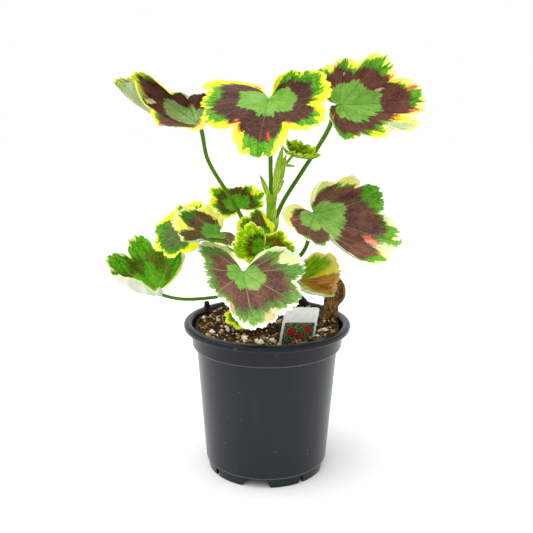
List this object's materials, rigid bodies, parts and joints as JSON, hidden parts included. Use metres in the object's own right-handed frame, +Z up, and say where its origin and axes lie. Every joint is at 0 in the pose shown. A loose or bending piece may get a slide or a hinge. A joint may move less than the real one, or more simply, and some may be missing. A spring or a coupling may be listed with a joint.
{
  "type": "potted geranium",
  "caption": "Young geranium with tricoloured scalloped leaves on slender stalks, growing from soil in a tapered round nursery pot with a plain tag.",
  "frame": {"origin": "centre of the plant's bounding box at the level that the pot stands on; the pot's own axis is 0.9 mm to its right and 10.4 mm behind it", "axes": "+Z up, -Y towards the viewer of the picture, +X to that viewer's right"},
  "size_m": [0.2076, 0.1288, 0.2696],
  "materials": {
    "pot": "satin black with a faint blue cast, scuffed on the edges",
    "soil": "peat and bark potting mix with white perlite grains",
    "stem": "green, finely hairy",
    "dead_wood": "dry, brown and cracked",
    "tag": "white printed plastic",
    "blade": "green with a maroon zone and a pale toothed margin",
    "blade_young": "fresh green with a yellow margin",
    "blade_withered": "yellowing to brown"
  },
  "bodies": {
    "root": {"pot": "pot", "soil": "soil", "stem": "stem", "dead_stump": "dead_wood", "plant_tag": "tag", "leaf_crown_left": "blade", "leaf_crown_front": "blade", "leaf_crown_right": "blade", "leaf_right": "blade", "leaf_front": "blade", "leaf_low_left": "blade_young", "leaf_mid_left": "blade", "leaf_behind_left": "blade_young", "leaf_back_left": "blade_young", "leaf_young_front": "blade_young", "leaf_young_back": "blade_young", "leaf_young_right": "blade_young", "leaf_young_top": "blade_young", "leaf_withering": "blade_withered", "leaf_at_soil": "blade_young"}
  },
  "joints": []
}
